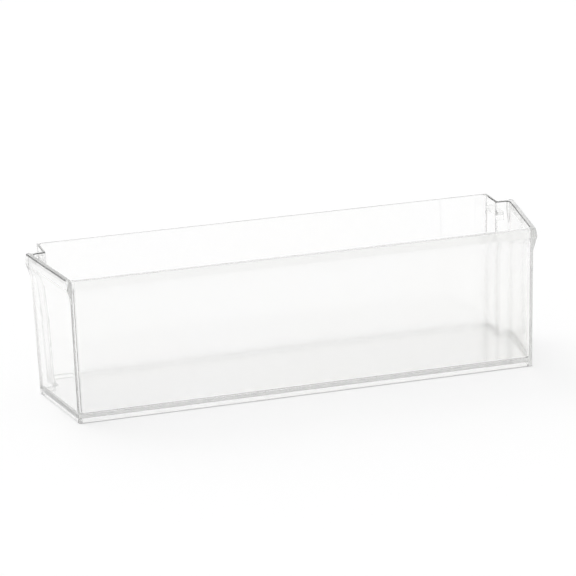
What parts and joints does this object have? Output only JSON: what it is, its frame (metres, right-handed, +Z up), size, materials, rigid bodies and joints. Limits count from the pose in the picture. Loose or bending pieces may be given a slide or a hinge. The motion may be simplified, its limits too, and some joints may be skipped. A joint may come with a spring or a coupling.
{
  "type": "fridge door shelf",
  "caption": "Clear moulded fridge door shelf: a deep open bin with splayed sides, a beaded rim, stepped rear corners and hangers that rest on the door's lugs.",
  "frame": {"origin": "on the surface the shelf stands on, under the middle of its overall box", "axes": "+X along the shelf's width to the right seen from the front, +Y from the front wall to the back, +Z up"},
  "size_m": [0.4714, 0.1336, 0.1328],
  "materials": {
    "clear_plastic": "polished clear moulding"
  },
  "bodies": {
    "root": {"door_shelf": "clear_plastic"}
  },
  "joints": []
}
